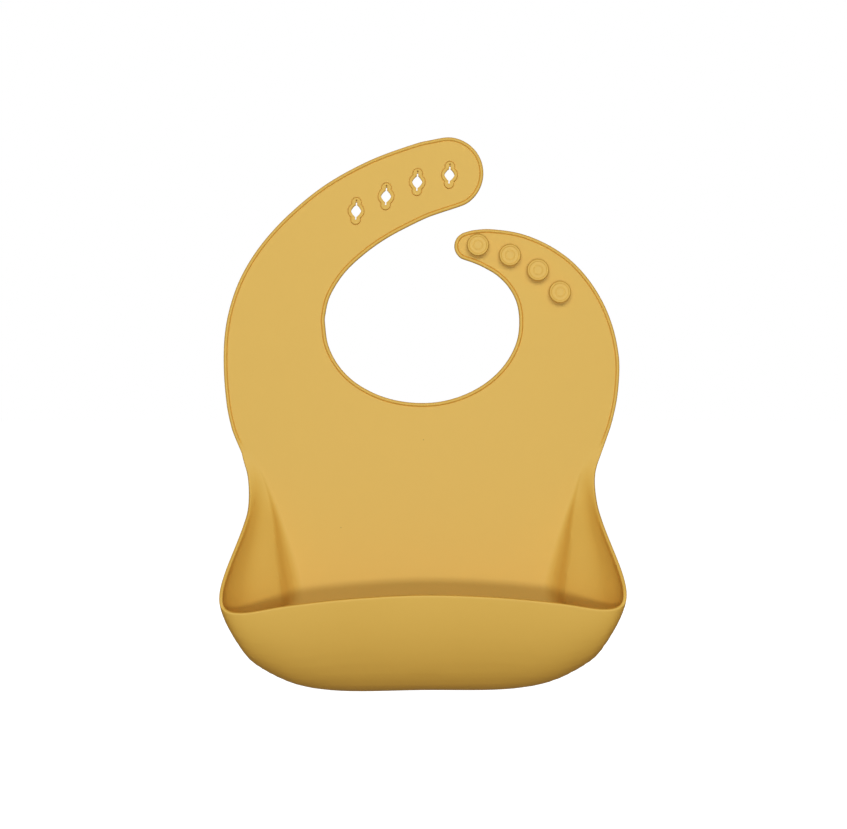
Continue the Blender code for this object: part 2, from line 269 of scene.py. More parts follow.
@dataclass(frozen=True)
class EdgeSection:
    """The section of a slab's edge on one side.

    Attributes:
        rings: Distances from the edge, each with its height over the side's own surface.
        beaded: The heights of the same rings where the edge carries a bead.
        share: The bead's share at a place.
    """

    rings: tuple[tuple[float, float], ...]
    beaded: tuple[float, ...] = ()
    share: Callable[[Vector], float] = lambda place: 1.0

    def shape(self, bm: Mesh, faces: list[Face]) -> None:
        """Gives the border of one side of a slab this section.

        Args:
            bm: The slab.
            faces: The side's faces.
        """
        rings, side = edge_rings(bm, faces, [distance for distance, _ in self.rings[1:]])
        bm.normal_update()
        moves = []
        for i, ring in enumerate(rings):
            plain = self.rings[i][1]
            bead = self.beaded[i] if self.beaded else plain
            for vert in ring:
                around = [face for face in vert.link_faces if face in side]
                normal = sum((face.normal * face.calc_area() ** AREA_WEIGHT for face in around), Vector())
                height = plain + (bead - plain) * self.share(vert.co)
                moves.append((vert, normal.normalized() * height))
        for vert, move in moves:
            vert.co += move


def cut(bm: Mesh, point: Vector, normal: Vector) -> None:
    """Adds a line of edges where a plane crosses the mesh."""
    bmesh.ops.bisect_plane(bm, geom=[*bm.verts, *bm.edges, *bm.faces], plane_co=point, plane_no=normal)


def keep_beyond(bm: Mesh, point: Vector, normal: Vector) -> None:
    """Cuts away what lies behind a plane and closes the cut with a flat, sharp-edged face.

    Args:
        bm: The closed mesh.
        point: A point on the plane.
        normal: The plane's normal, towards what is kept.
    """
    geom = [*bm.verts, *bm.edges, *bm.faces]
    made = bmesh.ops.bisect_plane(bm, geom=geom, plane_co=point, plane_no=normal, clear_inner=True)
    rim = [item for item in made["geom_cut"] if isinstance(item, bmesh.types.BMEdge)]
    for edge in rim:
        edge.smooth = False
    bmesh.ops.holes_fill(bm, edges=rim, sides=0)
    bmesh.ops.recalc_face_normals(bm, faces=bm.faces)


def keep_island(bm: Mesh, start: Vert) -> None:
    """Deletes all but the part of the mesh that is joined to one vert.

    Args:
        bm: The mesh.
        start: A vert of the part that is kept.
    """
    kept, waiting = {start}, [start]
    while waiting:
        vert = waiting.pop()
        for edge in vert.link_edges:
            other = edge.other_vert(vert)
            if other not in kept:
                kept.add(other)
                waiting.append(other)
    bmesh.ops.delete(bm, geom=[v for v in bm.verts if v not in kept], context="VERTS")


# ---------------------------------------------------------------- materials


def socket(group: NodeTree, name: str, kind: str, direction: str, value: float | tuple | None = None) -> None:
    """Adds a named input or output to a node group.

    Args:
        group: The node group.
        name: The socket's name.
        kind: Its type.
        direction: INPUT or OUTPUT.
        value: The value that it starts with, or None for the type's own.
    """
    made = group.interface.new_socket(name=name, in_out=direction, socket_type=kind)
    if value is not None:
        made.default_value = value


def add(tree: NodeTree, kind: str, **settings: object) -> Node:
    """Adds a node, with its settings and, by name, the values of its unlinked inputs.

    Args:
        tree: The node tree.
        kind: The node's type, without its ShaderNode prefix.
        **settings: Attributes of the node; "inputs" is a dictionary of input names or numbers to values.

    Returns:
        The new node.
    """
    node = tree.nodes.new(kind if kind.startswith("Node") else f"ShaderNode{kind}")
    inputs = settings.pop("inputs", {})
    for name, value in settings.items():
        setattr(node, name, value)
    for name, value in inputs.items():
        node.inputs[name].default_value = value
    return node


def wire(tree: NodeTree, links: Iterable[Link]) -> None:
    """Joins nodes.

    Args:
        tree: The node tree.
        links: For each link a node, its output's name or number, the next node, and its input's.
    """
    for source, output, target, name in links:
        tree.links.new(source.outputs[output], target.inputs[name])


def moulded_grain_group() -> NodeTree:
    """Makes the fine tooth that a sand-blasted mould leaves, with broad, faint flow marks under it.

    Returns:
        The node group.
    """
    group = bpy.data.node_groups.new("moulded_grain", "ShaderNodeTree")
    values = {"Grain size": 0.0004, "Grain depth": 0.5, "Roughness": 0.6, "Roughness change": 0.06}
    for name, value in values.items():
        socket(group, name, "NodeSocketFloat", "INPUT", value)
    for name in ("Height", "Roughness", "Flow"):
        socket(group, name, "NodeSocketFloat", "OUTPUT")
    inside, outside = add(group, "NodeGroupInput"), add(group, "NodeGroupOutput")
    place = add(group, "TexCoord")
    scale = add(group, "Math", operation="DIVIDE", inputs={0: 1.0})
    fine = add(group, "TexNoise", inputs={"Detail": 2.0, "Roughness": 0.6})
    flow = add(group, "TexNoise", inputs={"Scale": 26.0, "Detail": 3.0, "Roughness": 0.55, "Distortion": 0.4})
    depth = add(group, "Math", operation="MULTIPLY")
    centre = add(group, "Math", operation="SUBTRACT", inputs={1: 0.5})
    change = add(group, "Math", operation="MULTIPLY")
    rough = add(group, "Math", operation="ADD")
    links = (
        (inside, "Grain size", scale, 1),
        (place, "Object", fine, "Vector"), (scale, 0, fine, "Scale"), (place, "Object", flow, "Vector"),
        (fine, "Fac", depth, 0), (inside, "Grain depth", depth, 1),
        (flow, "Fac", centre, 0), (centre, 0, change, 0), (inside, "Roughness change", change, 1),
        (change, 0, rough, 0), (inside, "Roughness", rough, 1),
        (depth, 0, outside, "Height"), (rough, 0, outside, "Roughness"), (flow, "Fac", outside, "Flow"),
    )
    wire(group, links)
    return group


def lint_specks_group() -> NodeTree:
    """Makes a few tiny dark specks of lint, which silicone holds on to, over a given colour.

    Returns:
        The node group.
    """
    group = bpy.data.node_groups.new("lint_specks", "ShaderNodeTree")
    socket(group, "Color", "NodeSocketColor", "INPUT", (0.7, 0.45, 0.1, 1.0))
    socket(group, "Speck color", "NodeSocketColor", "INPUT", (0.2, 0.12, 0.03, 1.0))
    values = {"Spacing": 0.012, "Speck size": 0.03, "Share": 0.15, "Strength": 0.5}
    for name, value in values.items():
        socket(group, name, "NodeSocketFloat", "INPUT", value)
    socket(group, "Color", "NodeSocketColor", "OUTPUT")
    socket(group, "Mask", "NodeSocketFloat", "OUTPUT")
    inside, outside = add(group, "NodeGroupInput"), add(group, "NodeGroupOutput")
    place = add(group, "TexCoord")
    scale = add(group, "Math", operation="DIVIDE", inputs={0: 1.0})
    cells = add(group, "TexVoronoi", feature="F1")
    near = add(group, "Math", operation="LESS_THAN")
    split = add(group, "SeparateColor")
    chosen = add(group, "Math", operation="LESS_THAN")
    both = add(group, "Math", operation="MULTIPLY")
    strong = add(group, "Math", operation="MULTIPLY")
    mixed = add(group, "Mix", data_type="RGBA")
    links = (
        (inside, "Spacing", scale, 1), (place, "Object", cells, "Vector"), (scale, 0, cells, "Scale"),
        (cells, "Distance", near, 0), (inside, "Speck size", near, 1),
        (cells, "Color", split, 0), (split, "Red", chosen, 0), (inside, "Share", chosen, 1),
        (near, 0, both, 0), (chosen, 0, both, 1), (both, 0, strong, 0), (inside, "Strength", strong, 1),
        (strong, 0, mixed, "Factor"), (inside, "Color", mixed, "A"), (inside, "Speck color", mixed, "B"),
        (mixed, "Result", outside, "Color"), (strong, 0, outside, "Mask"),
    )
    wire(group, links)
    return group


@dataclass(frozen=True)
class SiliconeFinish:
    """A matte moulded silicone.

    Attributes:
        name: The material's name.
        colour: Its colour, linear.
        tint: The slightly different colour of its flow marks.
        roughness: Its middle roughness.
        grain_size: The size of the mould's tooth, in metres.
        grain_depth: How strongly the tooth shows.
        bump_distance: The tooth's height, in metres.
        deep: Painted shade: a darker, more orange colour that the surface turns to where it is seen at a
            slant, standing in for the shade and bounced light there.
        painted_shade_rate: How fast it turns to that colour.
        sheen: The soft pale bloom at grazing angles.
        sheen_roughness: How widely the bloom spreads.
        specular: How strongly it mirrors.
        specks: The share of the cells of lint that hold a speck.
    """

    name: str
    colour: tuple[float, float, float]
    tint: tuple[float, float, float]
    roughness: float = 0.55
    grain_size: float = 0.00045
    grain_depth: float = 1.0
    bump_distance: float = 0.00002
    # painted shade: the darker, more orange colour laid on surfaces seen at a slant
    deep: tuple[float, float, float] = (0.70, 0.355, 0.030)
    painted_shade_rate: float = 1.5
    sheen: float = 0.03
    sheen_roughness: float = 0.6
    specular: float = 0.25
    specks: float = 0.12

    def build(self, grain: NodeTree, lint: NodeTree) -> bpy.types.Material:
        """Makes the material.

        Args:
            grain: The moulded grain group.
            lint: The lint specks group.

        Returns:
            The material.
        """
        material = bpy.data.materials.new(self.name)
        material.use_nodes = True
        tree = material.node_tree
        shader = tree.nodes["Principled BSDF"]
        shader.inputs["Specular IOR Level"].default_value = self.specular
        shader.inputs["Sheen Weight"].default_value = self.sheen
        shader.inputs["Sheen Roughness"].default_value = self.sheen_roughness
        tooth = add(tree, "Group", node_tree=grain)
        tooth.inputs["Grain size"].default_value = self.grain_size
        tooth.inputs["Grain depth"].default_value = self.grain_depth
        tooth.inputs["Roughness"].default_value = self.roughness
        flow = add(tree, "Mix", data_type="RGBA")
        flow.inputs["A"].default_value = (*self.colour, 1.0)
        flow.inputs["B"].default_value = (*self.tint, 1.0)
        specks = add(tree, "Group", node_tree=lint)
        specks.inputs["Share"].default_value = self.specks
        # Painted shade: where the surface faces away from the camera, its colour turns to the darker, more
        # orange deep colour.
        slant = add(tree, "LayerWeight", inputs={"Blend": 0.5})
        share = add(tree, "Math", operation="MULTIPLY", use_clamp=True, inputs={1: self.painted_shade_rate})
        painted_shade_mix = add(tree, "Mix", data_type="RGBA", inputs={"B": (*self.deep, 1.0)})
        bump = add(tree, "Bump", inputs={"Strength": 1.0, "Distance": self.bump_distance})
        links = (
            (tooth, "Flow", flow, "Factor"), (flow, "Result", specks, "Color"), (slant, "Facing", share, 0),
            (share, 0, painted_shade_mix, "Factor"), (specks, "Color", painted_shade_mix, "A"),
            (painted_shade_mix, "Result", shader, "Base Color"), (tooth, "Roughness", shader, "Roughness"),
            (tooth, "Height", bump, "Height"), (bump, "Normal", shader, "Normal"),
        )
        wire(tree, links)
        return material


class Slot(Enum):
    """The record's material slots."""

    SHEET = "silicone"
    STUD = "stud_silicone"


# ---------------------------------------------------------------- the sheet


@dataclass(frozen=True)
class Rib:
    """One rib of the pocket, from the back panel to the lip, on the right side.

    Attributes:
        root: Where it leaves the panel, as (x, z).
        lip: Where it ends, as (x, y, z).
        root_handle: How far it keeps on in the panel's plane.
        lip_handle: How far before the lip it takes its last direction.
        lip_angle: How steeply it reaches the lip, in degrees: 0 forward, 90 straight up.
        flare: How much of that direction is sideways, in the panel's plane, and not forward.
        ridge: The height of the soft ridge that follows the crease.
    """

    root: Pair
    lip: tuple[float, float, float]
    root_handle: float
    lip_handle: float
    lip_angle: float
    flare: float = 0.0
    ridge: float = 0.0

    def values(self) -> list[float]:
        """The rib's numbers in a row, for a smooth run from rib to rib."""
        shape = (self.root_handle, self.lip_handle, self.lip_angle, self.flare, self.ridge)
        return [*self.root, *self.lip, *shape]

    @classmethod
    def from_values(cls, values: Sequence[float]) -> "Rib":
        """The rib that such a row of numbers stands for, with no ridge that sinks in."""
        x, z, lip_x, lip_y, lip_z, *shape, ridge = values
        return cls((x, z), (lip_x, lip_y, lip_z), *shape, max(0.0, ridge))


@dataclass
class Sheet:
    """The bib's skin: a flat sheet with a beaded edge, which runs on into the catch pocket.

    The outline's points are (x, z), in order from the left waist over the straps to the right waist.

    Attributes:
        thickness: The skin's thickness.
        waist_half_width: How far out the waist's edge lies.
        waist_height: Where the waist is narrowest.
        left_outer: The left strap's outer edge, upwards.
        left_tip: Its round end, as (centre, radius, first angle, last angle).
        left_inner: Its inner edge, down to the neck opening.
        neck: The neck opening's lower edge, from left to right.
        right_inner: The right strap's inner edge, upwards.
        right_tip: Its round end, as the left one's.
        right_outer: Its outer edge, down to the waist.
        outline_steps: The straight steps between each two points of the outline.
        ribs: The pocket's ribs, from the middle of its floor round to the waist, mirrored for the left side.
        rib_steps: The columns of points from each rib to the next.
        samples: The straight steps of a rib's curve before it is divided into rows.
        rows: The rows of points from the root to the lip, without the lip's own.
        gathering: How much closer the rows lie towards the root, 1 for evenly spread ones.
        first_row: From the lip to the first row inside it, so that the edge's rings fit between.
        panel_lead: How far the pocket's mesh runs on over the flat panel.
        ridge_rise: Where along a rib its ridge begins, the share of the rib that it rises over, and a power.
        ridge_fall: Where along a rib its ridge begins to fall, and where it ends.
        tilt: How much lower the pocket hangs towards the left, by x.
        left_give: How much further out the left waist stands than the right one.
        give_heights: Where this begins, is first whole, is last whole, and ends, upwards.
        give_sides: How far out this begins, and is whole.
    """

    thickness: float = 0.0020
    waist_half_width: float = 0.1032
    waist_height: float = -0.0755
    left_outer: Points = (
        (-0.1078, -0.0679), (-0.1102, -0.0610), (-0.1128, -0.0480), (-0.1144, -0.0280), (-0.1138, -0.0080),
        (-0.1101, 0.0101), (-0.1033, 0.0271), (-0.0922, 0.0442), (-0.0764, 0.0612), (-0.0555, 0.0780),
        (-0.0304, 0.0917), (-0.0054, 0.1009), (0.0050, 0.1034),
    )
    left_tip: tuple = ((0.0141, 0.0843), 0.0206, 90, -58)
    left_inner: Points = (
        (0.0180, 0.0641), (0.0100, 0.0615), (-0.0005, 0.0575), (-0.0202, 0.0473), (-0.0348, 0.0369),
        (-0.0458, 0.0261), (-0.0534, 0.0137),
    )
    neck: Points = (
        (-0.0561, 0.0030), (-0.0562, -0.0029), (-0.0545, -0.0142), (-0.0494, -0.0248), (-0.0413, -0.0339),
        (-0.0307, -0.0408), (-0.0186, -0.0454), (-0.0056, -0.0475), (0.0077, -0.0472), (0.0204, -0.0442),
        (0.0320, -0.0388), (0.0419, -0.0313), (0.0494, -0.0220), (0.0541, -0.0114), (0.0553, -0.0001),
    )
    right_inner: Points = (
        (0.0537, 0.0102), (0.0491, 0.0189), (0.0425, 0.0256), (0.0350, 0.0301), (0.0290, 0.0328),
    )
    right_tip: tuple = ((0.0262, 0.0424), 0.0082, 245, 105)
    right_outer: Points = (
        (0.0300, 0.0517), (0.0398, 0.0521), (0.0557, 0.0497), (0.0707, 0.0438), (0.0842, 0.0349),
        (0.0948, 0.0237), (0.1033, 0.0103), (0.1089, -0.0036), (0.1120, -0.0173), (0.1128, -0.0290),
        (0.1115, -0.0449), (0.1085, -0.0588), (0.1058, -0.0671),
    )
    outline_steps: int = 6
    ribs: tuple[Rib, ...] = (
        Rib((0.0000, -0.1964), (0.0000, -0.0510, -0.1523), 0.0245, 0.0634, 77),
        Rib((0.0400, -0.1980), (0.0400, -0.0507, -0.1540), 0.0232, 0.0608, 76),
        Rib((0.0600, -0.1927), (0.0734, -0.0500, -0.1575), 0.0243, 0.0578, 77),
        Rib((0.0675, -0.1805), (0.0967, -0.0500, -0.1610), 0.0316, 0.0473, 74, 0.0, 0.0011),
        Rib((0.0678, -0.1658), (0.1071, -0.0495, -0.1595), 0.0225, 0.0347, 62, 0.0, 0.0026),
        Rib((0.0680, -0.1540), (0.1103, -0.0470, -0.1534), 0.0130, 0.0165, 38, 0.0, 0.0042),
        Rib((0.0732, -0.1350), (0.1088, -0.0385, -0.1416), 0.0090, 0.0110, 20, 0.1, 0.0038),
        Rib((0.0800, -0.1150), (0.1011, -0.0215, -0.1178), 0.0060, 0.0065, 10, 0.25, 0.0021),
        Rib((0.0850, -0.1000), (0.0984, -0.0105, -0.1037), 0.0060, 0.0050, 4, 0.5, 0.0007),
        Rib((0.0900, -0.0870), (0.0986, -0.0040, -0.0890), 0.0030, 0.0030, 2, 0.8, 0.0001),
        Rib((0.0965, -0.0750), (0.1032, -0.0010, -0.0755), 0.0020, 0.0020, 0, 1.0),
    )
    rib_steps: int = 6
    samples: int = 120
    rows: int = 26
    gathering: float = 1.25
    first_row: float = 0.0036
    panel_lead: float = 0.0030
    ridge_rise: tuple[float, float, float] = (0.02, 0.19, 2.4)
    ridge_fall: Pair = (0.21, 0.72)
    tilt: float = 0.0100
    left_give: float = 0.0017
    give_heights: tuple[float, float, float, float] = (-0.112, -0.088, -0.084, -0.066)
    give_sides: Pair = (0.080, 0.098)

    def mirrored(self, place: Vector) -> Vector:
        """Puts a place on the pocket's right side on the left, where the waist stands a little further out.

        Args:
            place: The place on the right side.

        Returns:
            The place on the left side.
        """
        foot, low, high, top = self.give_heights
        along = smooth_step(foot, low, place.z) * (1 - smooth_step(high, top, place.z))
        give = self.left_give * along * smooth_step(*self.give_sides, place.x)
        return Vector((-place.x - give, place.y, place.z))

    def outline(self) -> list[Vector]:
        """Runs the outline from the left waist over the straps to the right waist.

        Returns:
            The outline's points, as (x, z).
        """
        left_waist = self.mirrored(Vector((self.waist_half_width, 0, self.waist_height)))
        edge = [
            (left_waist.x, self.waist_height - self.tilt * self.waist_half_width),
            *self.left_outer,
            *arc(*self.left_tip),
            *self.left_inner,
            *self.neck,
            *self.right_inner,
            *arc(*self.right_tip),
            *self.right_outer,
            (self.waist_half_width, self.waist_height + self.tilt * self.waist_half_width),
        ]
        return spline(edge, self.outline_steps)

    def stations(self) -> list[Rib]:
        """Fills in more ribs between those of the right side.

        Returns:
            All the ribs, from the middle to the waist.
        """
        first, last = self.ribs[1].values(), self.ribs[-1].values()
        mirrored = [-first[0], first[1], -first[2], *first[3:]]
        beyond = [2 * a - b for a, b in zip(last, self.ribs[-2].values())]
        rows = [mirrored, *[rib.values() for rib in self.ribs], beyond]
        found = []
        for i in range(len(self.ribs) - 1):
            for step in range(self.rib_steps):
                values = [catmull_rom(*column, step / self.rib_steps) for column in zip(*rows[i : i + 4])]
                found.append(Rib.from_values(values))
        return [*found, self.ribs[-1]]

    def column(self, rib: Rib, outward: Vector) -> list[Vector]:
        """The points of one rib on the skin's middle surface, from the flat panel to the lip.

        Args:
            rib: The rib.
            outward: The direction in the panel's plane in which it leaves the panel.

        Returns:
            The points: one on the flat panel, and then rows from the root to the lip.
        """
        root = Vector((rib.root[0], -self.thickness / 2, rib.root[1]))
        lip = Vector(rib.lip)
        rise = math.radians(rib.lip_angle)
        forward = Vector((0, -1, 0)).lerp(outward, rib.flare).normalized()
        arriving = lip - rib.lip_handle * (forward * math.cos(rise) + Vector((0, 0, math.sin(rise))))
        leaving = root + rib.root_handle * outward
        line = []
        for i in range(self.samples + 1):
            t = i / self.samples
            u = 1 - t
            line.append(u**3 * root + 3 * u * u * t * leaving + 3 * u * t * t * arriving + t**3 * lip)
        length = sum((b - a).length for a, b in zip(line, line[1:]))
        last = length - self.first_row
        inner = [last * (i / (self.rows - 1)) ** self.gathering for i in range(self.rows)]
        points = by_length(line, [*inner, length])
        start, span, power = self.ridge_rise
        for point, gone in zip(points[1:-1], inner[1:]):
            rising = min(1.0, max(0.0, (gone / length - start) / span)) ** power
            falling = 1 - smooth_step(*self.ridge_fall, gone / length)
            point.y -= rib.ridge * rising * falling
        return [root - outward * self.panel_lead, *points]

    def columns(self) -> list[list[Vector]]:
        """Lays out the whole pocket.

        Returns:
            Its columns of points, from the left waist round to the right waist.
        """
        stations = self.stations()
        right = []
        for i, rib in enumerate(stations):
            before, after = stations[max(i - 1, 0)], stations[min(i + 1, len(stations) - 1)]
            along = Vector((after.root[0] - before.root[0], 0, after.root[1] - before.root[1]))
            if i == 0:
                along = Vector((1, 0, 0))
            outward = Vector((along.z, 0, -along.x)).normalized()
            right.append(self.column(rib, outward))
        left = [[self.mirrored(p) for p in column] for column in reversed(right[1:])]
        return [[p + Vector((0, 0, self.tilt * p.x)) for p in column] for column in [*left, *right]]

    def surface(self) -> Mesh:
        """Joins one flat face for the panel and straps to the pocket's grid.

        Returns:
            The skin's middle surface, facing the front.
        """
        columns = self.columns()
        bm = grid_through(columns)
        middle = -self.thickness / 2
        border = [Vector((p.x, middle, p.y)) for p in self.outline()[1:-1]]
        lower = [columns[-1][i] for i in range(len(columns[-1]) - 1, 0, -1)]
        lower += [column[0] for column in reversed(columns)]
        lower += columns[0][1:]
        bm.faces.new([bm.verts.new(point) for point in [*border, *lower]]).normal_update()
        bmesh.ops.remove_doubles(bm, verts=bm.verts, dist=MERGE_DISTANCE)
        bmesh.ops.recalc_face_normals(bm, faces=bm.faces)
        panel = max(bm.faces, key=lambda face: len(face.verts))
        if panel.normal.y > 0:
            bmesh.ops.reverse_faces(bm, faces=bm.faces)
        return bm


BEAD_HEIGHTS = (-0.0760, -0.0640)  # where the edge's bead begins, and where it is whole


def bead_share(place: Vector) -> float:
    """The edge bead's share: whole round the panel and straps, and none along the pocket's lip."""
    return smooth_step(*BEAD_HEIGHTS, place.z)


FRONT_EDGE = EdgeSection(
    rings=(
        (0.00000, -0.00060), (0.00012, -0.00025), (0.00040, -0.00005), (0.00085, 0.0), (0.00135, 0.0),
        (0.00175, 0.0), (0.00195, 0.0), (0.00210, 0.0), (0.00228, 0.0), (0.00300, 0.0),
    ),
    beaded=(-0.0006, -0.0001, 0.00028, 0.00055, 0.00055, 0.00035, -0.00015, -0.00035, 0.0, 0.0),
    share=bead_share,
)
BACK_EDGE = EdgeSection(
    rings=((0.00000, -0.00060), (0.00012, -0.00025), (0.00045, -0.00005), (0.00100, 0.0), (0.00160, 0.0))
)


# ---------------------------------------------------------------- pieces of the skin


@dataclass(frozen=True)
class Plane:
    """A cutting plane: a point on it and its normal."""

    point: Vector
    normal: Vector

    def flipped(self) -> "Plane":
        """The same plane, facing the other way."""
        return Plane(self.point, -self.normal)


def level(height: float) -> Plane:
    """A level plane, facing up."""
    return Plane(Vector((0, 0, height)), Vector((0, 0, 1)))


def spoke(angle: float, clockwise: bool) -> Plane:
    """A plane through the neck's centre, facing along a strap.

    Args:
        angle: The direction in which the plane runs out, from +x in degrees.
        clockwise: Whether it faces clockwise, as seen from the front.

    Returns:
        The plane.
    """
    a = math.radians(angle)
    turn = 1 if clockwise else -1
    return Plane(Vector((0, 0, 0)), Vector((math.sin(a), 0, -math.cos(a))) * turn)


@dataclass(frozen=True)
class Stretch:
    """A stretch of the skin that bends across one joint.

    Attributes:
        name: The piece's name.
        joint: The joint.
        stands_for: The nodes of the frame that it replaces.
        planes: The planes that bound it, facing what is kept.
        seed: A place in it, where the planes leave more than one part.
        before: How far before the joint's axis the bend starts.
        after: How far past the axis it ends.
        step: The distance between the lines of edges that let it bend.
        onwards: The direction from the joint's parent to its child, or None to work it out from the axis.
        slots: The numbers of the slots that pass through it.
    """

    name: str
    joint: str
    stands_for: tuple[str, ...]
    planes: tuple[Plane, ...]
    seed: tuple[float, float, float] | None
    before: float
    after: float
    step: float = 0.0014
    onwards: Vector | None = None
    slots: tuple[int, ...] = ()

    def direction(self) -> Vector:
        """The direction in which the bend runs, from the joint's parent to its child."""
        return self.onwards or BACKWARDS.cross(Vector(JOINTS[self.joint]["axis"])).normalized()

    def build(
        self, skin: Mesh, material: bpy.types.Material, cutters: dict[int, bpy.types.Object]
    ) -> bpy.types.Object:
        """Cuts the stretch from the whole skin and runs close lines of edges across its joint, where it can
        bend.

        Args:
            skin: The whole skin, which is left as it is.
            material: The silicone.
            cutters: The solids that open the slots' seats, by number.

        Returns:
            The piece.
        """
        bm = skin.copy()
        for plane in self.planes:
            keep_beyond(bm, plane.point, plane.normal)
            if self.seed:
                seed = Vector(self.seed)
                keep_island(bm, min(bm.verts, key=lambda vert: (vert.co - seed).length))
        joint = JOINTS[self.joint]
        pivot, along = Vector(joint["pos_m"]), self.direction()
        lines = max(2, round((self.before + self.after) / self.step))
        for i in range(lines + 1):
            cut(bm, pivot + along * (-self.before + (self.before + self.after) * i / lines), along)
        piece = to_object(self.name, bm, material)
        if self.slots:
            open_with(piece, [cutters[number] for number in self.slots])
        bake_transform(piece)
        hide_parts(*self.stands_for)
        return piece


def open_with(piece: bpy.types.Object, cutters: Iterable[bpy.types.Object]) -> None:
    """Cuts solids out of a piece for good.

    Args:
        piece: The piece.
        cutters: The solids.
    """
    for cutter in cutters:
        modifier = piece.modifiers.new(cutter.name, "BOOLEAN")
        modifier.operation = "DIFFERENCE"
        modifier.solver = "EXACT"
        modifier.object = cutter
    evaluated = piece.evaluated_get(bpy.context.evaluated_depsgraph_get())
    mesh = bpy.data.meshes.new_from_object(evaluated)
    mesh.set_sharp_from_angle(angle=SHARP_ANGLE)
    piece.modifiers.clear()
    old, piece.data = piece.data, mesh
    bpy.data.meshes.remove(old)


STRAP_ROOT_CUT = level(-0.0140)
LEFT_CUTS = tuple(spoke(angle, clockwise=True) for angle in (166.5, 141.0, 113.8))
RIGHT_CUTS = tuple(spoke(angle, clockwise=False) for angle in (12.3, 24.3))
POCKET_CUT = level(-0.0880)
NARROW = {"before": 0.0038, "step": 0.0008}  # a bend that has to stop before a slot or a stud

STRETCHES = (
    Stretch(
        "bib_left_strap_root", "left_strap_curl", ("left_strap_lower",),
        (STRAP_ROOT_CUT, LEFT_CUTS[0].flipped()), seed=(-0.090, 0.0, 0.0), before=0.011, after=0.011,
    ),
    Stretch(
        "bib_left_strap_shoulder", "left_strap_curl_b", ("left_strap_middle",),
        (STRAP_ROOT_CUT, LEFT_CUTS[0], LEFT_CUTS[1].flipped()), seed=(-0.074, 0.0, 0.038),
        before=0.009, after=0.009,
    ),
    Stretch(
        "bib_left_strap_upper", "left_strap_curl_c", ("left_strap_upper",),
        (STRAP_ROOT_CUT, LEFT_CUTS[1], LEFT_CUTS[2].flipped()), seed=(-0.050, 0.0, 0.065),
        before=0.010, after=0.0045, slots=(1,),
    ),
    Stretch(
        "bib_left_strap_tip", "left_strap_curl_d", ("left_strap_end",),
        (STRAP_ROOT_CUT, LEFT_CUTS[2]), seed=(-0.014, 0.0, 0.080), after=0.0045, slots=(2, 3, 4), **NARROW,
    ),
    Stretch(
        "bib_right_strap_root", "right_strap_curl", ("right_strap_lower",),
        (STRAP_ROOT_CUT, RIGHT_CUTS[0].flipped()), seed=(0.085, 0.0, 0.0), before=0.011, after=0.010,
    ),
    Stretch(
        "bib_right_strap_middle", "right_strap_curl_b", ("right_strap_upper",),
        (STRAP_ROOT_CUT, RIGHT_CUTS[0], RIGHT_CUTS[1].flipped()), seed=(0.072, 0.0, 0.022),
        after=0.0038, **NARROW,
    ),
    Stretch(
        "bib_right_strap_tip", "right_strap_curl_c", ("right_strap_end",),
        (STRAP_ROOT_CUT, RIGHT_CUTS[1]), seed=(0.050, 0.0, 0.040), after=0.0050, **NARROW,
    ),
    Stretch(
        "bib_chest_and_waist", "waist_fold", ("chest_panel",),
        (STRAP_ROOT_CUT.flipped(), POCKET_CUT), seed=None, before=0.0160, after=0.0160, step=0.0016,
        onwards=Vector((0, 0, -1)),
    ),
    Stretch(
        "bib_catch_pocket", "pocket_press",
        ("lower_panel", "pocket_floor", "pocket_side_left", "pocket_side_right", "pocket_front"),
        (POCKET_CUT.flipped(),), seed=None, before=0.0200, after=0.0200, step=0.004,
        onwards=Vector((0, -1, 0)),
    ),
)


# ---------------------------------------------------------------- fastening


